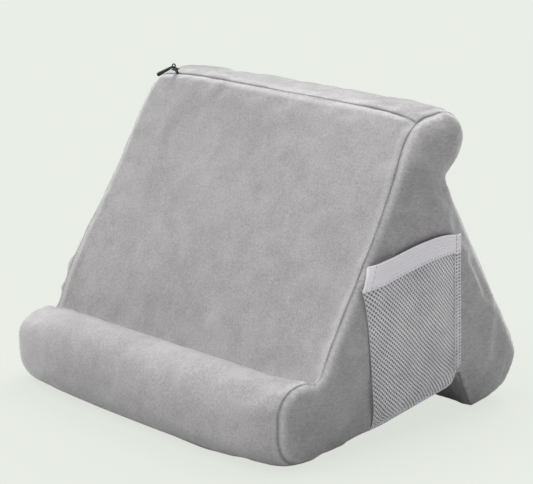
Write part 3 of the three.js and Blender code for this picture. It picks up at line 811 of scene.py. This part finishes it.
def wrap_panel(first, last):
    """A panel that runs across the cushion from side to side, drawn back where it meets the zip."""
    indices = SECTION.span(first, last)
    rows = []
    for share in row_shares():
        row = SECTION.loop(share)[indices]
        drift = Vector((share * SLIT_WAVES, *SLIT_DRIFT))
        slit = ZIP_SLIT / 2 * max(0.0, SLIT_OPEN + SLIT_LEAN * share + SLIT_WAVER * noise.noise(drift))
        for seam, end, beside in ((first, 0, 1), (last, -1, -2)):
            if seam == "top_front":
                inwards = row[beside] - row[end]
                row[end] += inwards / np.linalg.norm(inwards) * slit
        rows.append(metres(row))
    bm = loft(rows)
    face_outwards(bm, lambda at: at - Vector((at.x, *INSIDE)))
    return bm


def crowned(rim, fullest, away, soft):
    """How far out a side panel stands at a distance from its rim, in mm."""
    rounding = np.clip(away / soft, 0, 1)
    return rim + (fullest - rim) * np.sqrt(1 - (1 - rounding) ** 2)


def side_sheet(side, sunk=0.0):
    """A side panel: a net of triangles inside the rim, crowned away from its seam."""
    rim = SECTION.loop(side, sunk)
    rim[:, 0] -= side * np.mean(sunk)
    flat = rim[:, 1:]
    low, high = flat.min(0), flat.max(0)
    grid = []
    row, z = 0, low[1]
    while z < high[1]:
        start = low[0] + (MESH_STEP / 2 if row % 2 else 0)
        grid += [(y, z) for y in np.arange(start, high[0], MESH_STEP)]
        row, z = row + 1, z + MESH_STEP * ROW_RISE
    grid = np.array(grid)
    grid = grid[gaps(grid, flat).min(1) > MESH_STEP * RIM_CLEAR]
    points = [Vector(point) for point in np.vstack([flat, grid])]
    ring = list(range(len(flat)))
    edges = [(index, (index + 1) % len(flat)) for index in ring]
    spots, _, faces, _, _, _ = delaunay_2d_cdt(points, edges, [ring], 1, JOIN)
    spots = np.array(spots)
    away = gaps(spots, flat)
    near = away.argmin(1)
    soft = np.full(len(spots), SIDE_ROUND[side])
    fullest = np.full(len(spots), SIDE_OUT - np.mean(sunk))
    if side > 0:
        soft *= 1 - ROLL_RIGHT_ROUND * SECTION.roll[near]
    else:
        pull = 1 / (away + SPREAD_BLUR) ** SPREAD_POWER
        fullest += (pull * SECTION.wider).sum(1) / pull.sum(1)
    out = crowned(np.abs(rim[near, 0] - MIDDLE_X), fullest, away.min(1), soft)
    bm = bmesh.new()
    places = metres(np.column_stack([side * out + MIDDLE_X, spots]))
    verts = [bm.verts.new(place) for place in places]
    for face in faces:
        bm.faces.new([verts[index] for index in face])
    face_outwards(bm, lambda at: side * RIGHT)
    return bm


class CUSHION_OT_foam(bpy.types.Operator):
    """Builds the foam core inside the cover."""
    bl_idname = "cushion.foam"
    bl_label = "Foam Core"

    def execute(self, context):
        sunk = FOAM_INSET + ZIP_CHANNEL * hill(SECTION.zip_away, CHANNEL_WIDE)
        rows = []
        for share in row_shares():
            row = SECTION.loop(share, sunk)
            row[:, 0] -= share * np.mean(sunk)
            rows.append(metres(row))
        bm = loft(rows, closed=True)
        for _, side in SIDES:
            cap = to_mesh("cap", side_sheet(side, sunk))
            bm.from_mesh(cap)
            bpy.data.meshes.remove(cap)
        bmesh.ops.remove_doubles(bm, verts=bm.verts, dist=FOAM_JOIN)
        bmesh.ops.recalc_face_normals(bm, faces=bm.faces)
        core = new_piece("foam_block", bm)
        settle_in(context, core, "foam", "foam_core")
        return {"FINISHED"}


class CUSHION_OT_panels(bpy.types.Operator):
    """Sews the seven velvet panels of the cover and puffs them out."""
    bl_idname = "cushion.panels"
    bl_label = "Velvet Panels"

    def execute(self, context):
        made = {}
        for name, first, last in PANELS:
            made[name] = new_piece(name + "_velvet", wrap_panel(first, last))
        for name, side in SIDES:
            made[name] = new_piece(name + "_velvet", side_sheet(side))
        swell(context, made.values())
        for seed, (name, obj) in enumerate(made.items()):
            refine(obj)
            pucker(context, obj, SEED + seed)
            stand(obj)
            thicken(obj, context.scene.cushion_sizes.cloth)
            settle_in(context, obj, "velvet", name)
        return {"FINISHED"}


# Zip

ZIP_ACROSS = Vector((0.8494, 0.5277))
ZIP_OUT = Vector((0, *ZIP_UP))
ZIP_TURN = axes(RIGHT, Vector((0, *ZIP_ACROSS)), ZIP_OUT)
TAPE_HALF = 122.0
TAPE_STEPS = 48
TAPE_GAP = 0.3
TAPE_WIDE = 9.0
TAPE_DEEP = 3.9
TAPE_DIP = 0.9
TAPE_THICK = 0.6
TEETH_HALF = 116.0
ROW_DEEP = 2.6
TOOTH = (2.2, 2.0, 1.3)
TOOTH_ROUND = 0.35
TOOTH_STEP = 4.5
TOOTH_ASIDE = 0.9
STOP = (3.0, 7.0, 1.3)
STOP_ROUND = 0.4
STOP_GAP = 0.6
STOP_SUNK = 0.4
SLIDER_X = -115.0
SLIDER_SEAM = Vector((SLIDER_X, 20.31, 211.99)) * MM
# Lower plate, upper plate and post: size, rounding and rise out of the zip
SLIDER_BLOCKS = (
    ((9.6, 6.6, 0.9), 0.3, -4.9),
    ((6.4, 3.2, 0.6), 0.3, 0.4),
    ((3.0, 1.0, 5.6), 0.25, -2.2),
)
BRIDGE_WIRE = 0.45
BRIDGE_HALF = 2.4
BRIDGE_RISE = 0.4
BRIDGE_STEPS = 16
WIRE_SIDES = 10
PULL_HINGE = Vector((SLIDER_X, 18.52, 214.88)) * MM
PULL_DROOP = math.radians(18)
PULL_LONG = 16.5
PULL_THICK = 1.3
PULL_SOFT = 0.32
BLADE_CELLS = (24, 4)
BLADE_NARROW = 0.75
BLADE_FLARE = 0.85
BLADE_POWER = 0.8
TIP_START = 0.9
TIP_BLUNT = 0.16
EYE_RING = 1.45
EYE_WIRE = 0.5
EYE_STEPS = 24
BLADE_START = EYE_RING * 0.9


def zip_point(x, across, up):
    """A point beside the zip: x along it, across it towards the back, and up out of it, in mm."""
    share = max(-1.0, min(1.0, (x - MIDDLE_X) / SEAM_HALF))
    seam = Vector(SECTION.loop(share)[SECTION.seam["top_front"]])
    flat = ZIP_ACROSS * across + ZIP_UP * up
    return Vector((x, seam.y + flat.x, seam.z + flat.y)) * MM


def bent_wire(wire, bend, turn, steps):
    """A wire bent round the y axis, in mm: an arch, or a ring at a full turn."""
    bm = bmesh.new()
    bmesh.ops.create_circle(bm, cap_ends=False, segments=WIRE_SIDES, radius=wire * MM)
    bmesh.ops.translate(bm, verts=bm.verts, vec=(-bend * MM, 0, 0))
    bmesh.ops.spin(
        bm, geom=bm.verts[:] + bm.edges[:], cent=(0, 0, 0), axis=(0, 1, 0), angle=turn,
        steps=steps, use_merge=turn > math.pi, use_duplicate=False)
    bmesh.ops.remove_doubles(bm, verts=bm.verts, dist=JOIN)
    close_ends(bm)
    return to_mesh("wire", bm)


class CUSHION_OT_zip(bpy.types.Operator):
    """Lays the zip's tapes, coil and stops under the slit."""
    bl_idname = "cushion.zip"
    bl_label = "Zip Chain"

    def execute(self, context):
        tooth = rounded_block(TOOTH, TOOTH_ROUND)
        stop = rounded_block(STOP, STOP_ROUND)
        for name, way in (("front", -1), ("rear", 1)):
            near, far = way * TAPE_GAP, way * TAPE_WIDE
            low, high = -TAPE_DEEP - TAPE_THICK, -TAPE_DEEP
            corners = ((near, high), (far, high - TAPE_DIP), (far, low - TAPE_DIP), (near, low))
            rows = []
            for step in range(TAPE_STEPS + 1):
                x = MIDDLE_X - TAPE_HALF + 2 * TAPE_HALF * step / TAPE_STEPS
                rows.append([zip_point(x, across, up) for across, up in corners])
            bm = loft(rows, closed=True)
            close_ends(bm)
            strip = new_piece("tape_" + name, bm, smooth=False)
            settle_in(context, strip, "zip_tape", "zip_tape_" + name)
            bm = bmesh.new()
            x = -TEETH_HALF + (TOOTH_STEP / 2 if way > 0 else 0) + TOOTH_STEP / 4
            while x + TOOTH[0] < TEETH_HALF:
                middle = x + MIDDLE_X + TOOTH[0] / 2
                spot = zip_point(middle, way * TOOTH_ASIDE, -ROW_DEEP - TOOTH[2] / 2)
                stamp(bm, tooth, spot, ZIP_TURN)
                x += TOOTH_STEP
            coil = new_piece("coil_" + name, bm)
            settle_in(context, coil, "zip_nylon", "zip_teeth_" + name)
        for name, way in (("left", -1), ("right", 1)):
            bm = bmesh.new()
            x = MIDDLE_X + way * (TEETH_HALF + STOP_GAP + STOP[0] / 2)
            stamp(bm, stop, zip_point(x, 0, -ROW_DEEP - STOP[2] / 2 - STOP_SUNK), ZIP_TURN)
            end = new_piece("stop_" + name, bm)
            settle_in(context, end, "black_metal", "zip_stop_" + name)
        return {"FINISHED"}


class CUSHION_OT_slider(bpy.types.Operator):
    """Casts the zip's slider: two plates, the post between them and the bridge."""
    bl_idname = "cushion.slider"
    bl_label = "Zip Slider"

    def execute(self, context):
        bm = bmesh.new()
        for size, round_by, rise in SLIDER_BLOCKS:
            stamp(bm, rounded_block(size, round_by), SLIDER_SEAM + ZIP_OUT * rise * MM, ZIP_TURN)
        bridge = bent_wire(BRIDGE_WIRE, BRIDGE_HALF, math.pi, BRIDGE_STEPS)
        stamp(bm, bridge, SLIDER_SEAM + ZIP_OUT * BRIDGE_RISE * MM, ZIP_TURN)
        slider = new_piece("slider_body", bm)
        settle_in(context, slider, "black_metal", "zip_slider", body="zip_slider")
        return {"FINISHED"}


class CUSHION_OT_pull(bpy.types.Operator):
    """Casts the slim zip pull with its eye."""
    bl_idname = "cushion.pull"
    bl_label = "Zip Pull"

    def execute(self, context):
        hang = Vector((0, -math.cos(PULL_DROOP), -math.sin(PULL_DROOP)))
        edge = RIGHT.cross(hang)

        def blade_point(along, across):
            half = BLADE_NARROW + BLADE_FLARE * along ** BLADE_POWER
            if along > TIP_START:
                past = (along - TIP_START) / (1 - TIP_START)
                half *= math.sqrt(max(0.0, 1 - past ** 2) * (1 - TIP_BLUNT) + TIP_BLUNT)
            far = BLADE_START + (PULL_LONG - BLADE_START) * along
            return PULL_HINGE + (hang * far + edge * (across * 2 - 1) * half) * MM

        blade = new_piece("pull_blade", grid_sheet(BLADE_CELLS, blade_point))
        thicken(blade, PULL_THICK * MM, offset=0)
        soft = blade.modifiers.new("soft", "BEVEL")
        soft.width = PULL_SOFT * MM
        soft.segments = 2
        settle_in(context, blade, "black_metal", "zip_pull", body="zip_pull")
        bm = bmesh.new()
        ring = bent_wire(EYE_WIRE, EYE_RING, 2 * math.pi, EYE_STEPS)
        stamp(bm, ring, PULL_HINGE, axes(hang, RIGHT, -edge))
        eye = new_piece("pull_eye", bm)
        settle_in(context, eye, "black_metal", body="zip_pull")
        return {"FINISHED"}


# Pocket

POCKET_TOP = (Vector((-36.0, 117.2)), Vector((47.35, 128.0)))
POCKET_FOOT = (Vector((-25.5, 15.5)), Vector((51.2, 38.0)))
POCKET_X = 136.9
POCKET_OFF = 1.8
FRONT_OFF = 0.35
FRONT_SHARE = 0.12
POCKET_BELLY = 3.4
BELLY_POWER = 2.6
MOUTH_TIGHT = 0.6
MOUTH_POWER = 4
MOUTH_BOW = 5.6
BOW_FRONT_POWER = 3.4
BOW_REAR_POWER = 6
FOOT_SHARE = 0.12
FOOT_ABOVE_SEAM = 0.4
NET_FLAT = (0.083, 0.103)
NET_FRONT = -0.02
NET_LIFT = 0.3
NET_SPARE_CELLS = 4
SLANT_YARN = 0.39
STEEP_YARN = 0.215
HOLE_ROUND = 0.55
CUT_DIST = 1e-7
EDGE_SHARE = 0.1
DRIFT_WAVES = (4.5, 5.5)
DRIFT_U = 0.009
DRIFT_V = 0.01
DRIFT_LIFT = 0.45
DRIFT_LIFT_WAVES = 1.3
BAND_SHARE = 0.135
BAND_FRONT = (-0.023, 0.06)
BAND_REAR = 1.034
BAND_RIBS = 8
BAND_CELLS = (72, 64)
BAND_THICK = 1.0
BAND_LIFT = 1.3
RIB_HIGH = 0.25
RIB_POWER = 0.6
RIB_EDGE = 3
STITCH_THICK = 0.6 * MM
LONG_ROW = (27, 0.3, 0.7, 0.07)
END_ROW = (5, 0.35, 0.75)
END_PLACES = (0.055, 0.945)
NET_TOP = 1 - BAND_SHARE * 0.85
HEM_LOW = 0.25
HEM_HIGH = 0.55
LADDER_CELLS = (2, 36)
LADDER_LIFT = 1.2
LADDER_YARN = 0.45 * MM
SIDE_RIM = SECTION.loop(1)
BASE_RIM = SIDE_RIM[SECTION.span("base_start", "notch")]


def side_face(y, z):
    """The right side panel's surface beside a point, in mm."""
    start = SIDE_RIM[:, 1:]
    along = np.roll(start, -1, 0) - start
    from_start = np.array((y, z)) - start
    part = np.clip((from_start * along).sum(1) / (along ** 2).sum(1), 0, 1)
    away = np.linalg.norm(from_start - along * part[:, None], axis=1)
    near = away.argmin()
    soft = SIDE_ROUND[1] * (1 - ROLL_RIGHT_ROUND * SECTION.roll[near])
    return crowned(SIDE_RIM[near, 0] - MIDDLE_X, SIDE_OUT, away[near], soft) + MIDDLE_X


def pocket_point(u, v, lift):
    """A point of the pocket: u from front to rear, v from foot to mouth, lift off the net in mm."""
    foot = POCKET_FOOT[0].lerp(POCKET_FOOT[1], u)
    belly = 0.0
    if v >= 0:
        spot = foot.lerp(POCKET_TOP[0].lerp(POCKET_TOP[1], u), v)
        high = min(1.0, v)
        belly = (1 - min(1.0, abs(2 * u - 1)) ** BELLY_POWER) * (1 - (1 - high) ** 2)
        belly *= 1 - MOUTH_TIGHT * high ** MOUTH_POWER
        back = min(1.0, max(0.0, u))
        bow = (1 - (1 - back) ** BOW_FRONT_POWER) * (1 - back ** BOW_REAR_POWER)
        spot.y += MOUTH_BOW * bow * high ** 2
    else:
        seam = np.interp(foot.x, BASE_RIM[:, 1], BASE_RIM[:, 2]) + FOOT_ABOVE_SEAM
        spot = foot.lerp(Vector((foot.x, seam)), min(1.0, -v / FOOT_SHARE))
    off = POCKET_OFF * (FRONT_OFF + (1 - FRONT_OFF) * min(1.0, max(0.0, u / FRONT_SHARE)))
    out = min(POCKET_X, side_face(*spot) + off) + POCKET_BELLY * belly
    return Vector((out + lift, spot.x, spot.y)) * MM


def between(ends, share):
    return ends[0] + (ends[1] - ends[0]) * share


class CUSHION_OT_net(bpy.types.Operator):
    """Knits the pocket's net: slanting yarns with a row of small holes between each two."""
    bl_idname = "cushion.net"
    bl_label = "Pocket Net"

    def execute(self, context):
        sizes = context.scene.cushion_sizes
        wide, tall = NET_FLAT
        cells = int(wide / sizes.net_hole + tall / sizes.net_rise) + NET_SPARE_CELLS
        slant_cell, steep_cell = 2 / SLANT_YARN, 2 / STEEP_YARN
        bm = bmesh.new()
        bmesh.ops.create_grid(bm, x_segments=cells, y_segments=cells, size=0.5)
        bmesh.ops.scale(bm, verts=bm.verts, vec=(cells * slant_cell, cells * steep_cell, 1))
        holes = bm.faces[:]
        bmesh.ops.inset_individual(bm, faces=holes, thickness=1.0, use_even_offset=True)
        corners = [vert for face in holes for vert in face.verts]
        bmesh.ops.delete(bm, geom=holes, context="FACES_ONLY")
        bmesh.ops.bevel(
            bm, geom=corners, offset=HOLE_ROUND, offset_type="OFFSET", affect="VERTICES",
            segments=1, profile=0.5, material=-1)
        for vert in bm.verts:
            i, j = vert.co.x / slant_cell, vert.co.y / steep_cell
            across, up = (i - j) * sizes.net_hole / 2, (i + j) * sizes.net_rise / 2
            vert.co = (across + wide / 2, up + tall / 2, 0)
        for edge, outward in (
                ((0, 0, 0), (-1, 0, 0)), ((wide, 0, 0), (1, 0, 0)),
                ((0, 0, 0), (0, -1, 0)), ((0, tall, 0), (0, 1, 0))):
            parts = bm.verts[:] + bm.edges[:] + bm.faces[:]
            bmesh.ops.bisect_plane(
                bm, geom=parts, dist=CUT_DIST, plane_co=edge, plane_no=outward, clear_outer=True)
        loose = [vert for vert in bm.verts if not vert.link_faces]
        bmesh.ops.delete(bm, geom=loose, context="VERTS")
        for vert in bm.verts:
            p, q = vert.co.x / wide, vert.co.y / tall
            inside = min(1.0, min(p, 1 - p, q, 1 - q) / EDGE_SHARE)
            drift = Vector((p * DRIFT_WAVES[0], q * DRIFT_WAVES[1], 2.0))
            u = between((NET_FRONT, 1), p) + inside * DRIFT_U * noise.noise(drift)
            v = between((-FOOT_SHARE, NET_TOP), q)
            v += inside * DRIFT_V * noise.noise(drift + Vector((7, 3, 1)))
            drift = drift * DRIFT_LIFT_WAVES + Vector((1, 9, 4))
            vert.co = pocket_point(u, v, NET_LIFT + inside * DRIFT_LIFT * noise.noise(drift))
        face_outwards(bm, lambda at: RIGHT)
        net = thicken(new_piece("net_mesh", bm, smooth=False), sizes.net_yarn)
        settle_in(context, net, "netting", "pocket_net")
        return {"FINISHED"}


class CUSHION_OT_band(bpy.types.Operator):
    """Weaves the ribbed elastic band at the pocket's mouth and stitches it on."""
    bl_idname = "cushion.band"
    bl_label = "Pocket Band"

    def execute(self, context):
        bm = grid_sheet(BAND_CELLS, self.spot)
        band = thicken(new_piece("elastic_band", bm), BAND_THICK * MM)
        settle_in(context, band, "elastic", "pocket_band")
        bm = bmesh.new()
        bmesh.ops.create_icosphere(bm, subdivisions=1, radius=0.5)
        long = context.scene.cushion_sizes.stitch
        bmesh.ops.scale(bm, verts=bm.verts, vec=(long, STITCH_THICK, STITCH_THICK))
        stitch = to_mesh("stitch", bm)
        bm = bmesh.new()
        count, start, end, rise = LONG_ROW
        for number in range(count):
            self.sew(bm, stitch, ((number + start) / count, rise), ((number + end) / count, rise))
        count, start, end = END_ROW
        for along in END_PLACES:
            for number in range(count):
                self.sew(bm, stitch, (along, (number + start) / count), (along, (number + end) / count))
        thread = new_piece("band_stitches", bm)
        settle_in(context, thread, "thread", slot="elastic")
        return {"FINISHED"}

    def spot(self, along, rise, ribbed=True):
        """A point on the band's outer face."""
        u = between((between(BAND_FRONT, rise), BAND_REAR), along)
        v = 1 - BAND_SHARE + BAND_SHARE * rise
        rib = abs(math.sin(rise * BAND_RIBS * math.pi)) ** RIB_POWER if ribbed else 1.0
        edge = min(rise, 1 - rise) * BAND_RIBS
        return pocket_point(u, v, BAND_LIFT + RIB_HIGH * rib * min(1.0, edge * RIB_EDGE))

    def sew(self, bm, stitch, first, last):
        """One stitch between two places on the band."""
        start, end = self.spot(*first, ribbed=False), self.spot(*last, ribbed=False)
        along = (end - start).normalized()
        across = RIGHT.cross(along).normalized()
        stamp(bm, stitch, (start + end) / 2, axes(along, across, along.cross(across)))


class CUSHION_OT_hems(bpy.types.Operator):
    """Folds the net's sewn edges: rolled at the front and foot, laddered at the rear."""
    bl_idname = "cushion.hems"
    bl_label = "Pocket Hems"

    def execute(self, context):
        def strip(u_ends, v_ends, cells, lift):
            def place(a, b):
                return pocket_point(between(u_ends, a), between(v_ends, b), lift(a, b))
            return grid_sheet(cells, place)

        def rolled(share):
            return HEM_LOW + HEM_HIGH * math.sin(share * math.pi) ** 0.5

        front = strip((-0.03, -0.018), (-0.06, 0.88), (6, 60), lambda a, b: rolled(a) * 0.5)
        foot = strip((-0.02, 1.0), (-FOOT_SHARE, -0.1), (60, 6), lambda a, b: rolled(b) * 0.7)
        rear = strip((0.962, BAND_REAR), (-0.02, NET_TOP), LADDER_CELLS, lambda a, b: LADDER_LIFT)
        bmesh.ops.inset_individual(
            rear, faces=rear.faces[:], thickness=LADDER_YARN, use_even_offset=True)
        by_area = sorted(rear.faces, key=lambda face: face.calc_area(), reverse=True)
        holes = by_area[:LADDER_CELLS[0] * LADDER_CELLS[1]]
        bmesh.ops.delete(rear, geom=holes, context="FACES")
        for name, bm, thick, finish, node in (
                ("hem_front", front, 0.6, "hem", "pocket_binding_front"),
                ("hem_foot", foot, 0.6, "netting", "pocket_binding_bottom"),
                ("hem_rear", rear, 0.7, "netting", "pocket_binding_rear")):
            hem = thicken(new_piece(name, bm), thick * MM)
            settle_in(context, hem, finish, node, slot="netting")
        return {"FINISHED"}


# Stage

EYE = (0.9185, -0.8446, 0.412)
EYE_TURN = (math.radians(76.23), 0.0, math.radians(47.25))
EYE_LENS = 125.1
EYE_SENSOR = 36.0
LAMPS = (
    ("window", (math.radians(24.0), math.radians(-22.0), 0.0), 2.35, math.radians(60)),
    ("back_light", (math.radians(-36.9), math.radians(-18.0), 0.0), 3.2, math.radians(50)),
)
WHITE = (1.0, 1.0, 1.0)
SKY_LEVEL = 0.26
FLOOR_HALF = 8.0
FLOOR_CELLS = 8


def set_up(scene, data, turn):
    """Puts a camera or a lamp into the scene."""
    obj = bpy.data.objects.new(data.name, data)
    obj.rotation_euler = turn
    scene.collection.objects.link(obj)
    return obj


class CUSHION_OT_stage(bpy.types.Operator):
    """Sets the floor, the soft light and the camera."""
    bl_idname = "cushion.stage"
    bl_label = "Stage"

    def execute(self, context):
        scene = context.scene
        bm = bmesh.new()
        bmesh.ops.create_grid(bm, x_segments=FLOOR_CELLS, y_segments=FLOOR_CELLS, size=FLOOR_HALF)
        floor = new_piece("floor", bm)
        floor.data.materials.append(material(context, "floor"))
        lens = bpy.data.cameras.new("eye")
        lens.lens = EYE_LENS
        lens.sensor_width = EYE_SENSOR
        scene.camera = set_up(scene, lens, EYE_TURN)
        scene.camera.location = EYE
        for name, turn, level, wide in LAMPS:
            lamp = bpy.data.lights.new(name, "SUN")
            lamp.energy = level
            lamp.angle = wide
            set_up(scene, lamp, turn)
        room = Finish(bpy.data.worlds.new("room"), "Background")
        scene.world = room.owner
        room.set(Color=WHITE, Strength=SKY_LEVEL)
        shown = scene.cushion_colours.floor
        room.backdrop("ShaderNodeBackground", shown, 1.0, 1.0, "World Output")
        scene.view_settings.view_transform = "Standard"
        return {"FINISHED"}


class CUSHION_PT_tools(bpy.types.Panel):
    """Lists the steps that build the cushion stand."""
    bl_idname = "CUSHION_PT_tools"
    bl_label = "Cushion Stand"
    bl_space_type = "VIEW_3D"
    bl_region_type = "UI"
    bl_category = "Cushion Stand"

    def draw(self, context):
        for step in STEPS:
            self.layout.operator(step.bl_idname)
        for group in (context.scene.cushion_sizes, context.scene.cushion_colours):
            for name in group.__annotations__:
                self.layout.prop(group, name)


STEPS = (
    CUSHION_OT_stage,
    CUSHION_OT_foam,
    CUSHION_OT_panels,
    CUSHION_OT_zip,
    CUSHION_OT_slider,
    CUSHION_OT_pull,
    CUSHION_OT_net,
    CUSHION_OT_band,
    CUSHION_OT_hems,
)
CLASSES = (CushionSizes, CushionColours, *STEPS, CUSHION_PT_tools)


def register():
    for item in CLASSES:
        bpy.utils.register_class(item)
    bpy.types.Scene.cushion_sizes = bpy.props.PointerProperty(type=CushionSizes)
    bpy.types.Scene.cushion_colours = bpy.props.PointerProperty(type=CushionColours)


def unregister():
    del bpy.types.Scene.cushion_sizes
    del bpy.types.Scene.cushion_colours
    for item in reversed(CLASSES):
        bpy.utils.unregister_class(item)


def main():
    register()
    for step in STEPS:
        _, name = step.bl_idname.split(".")
        getattr(bpy.ops.cushion, name)()


if __name__ == "__main__":
    main()
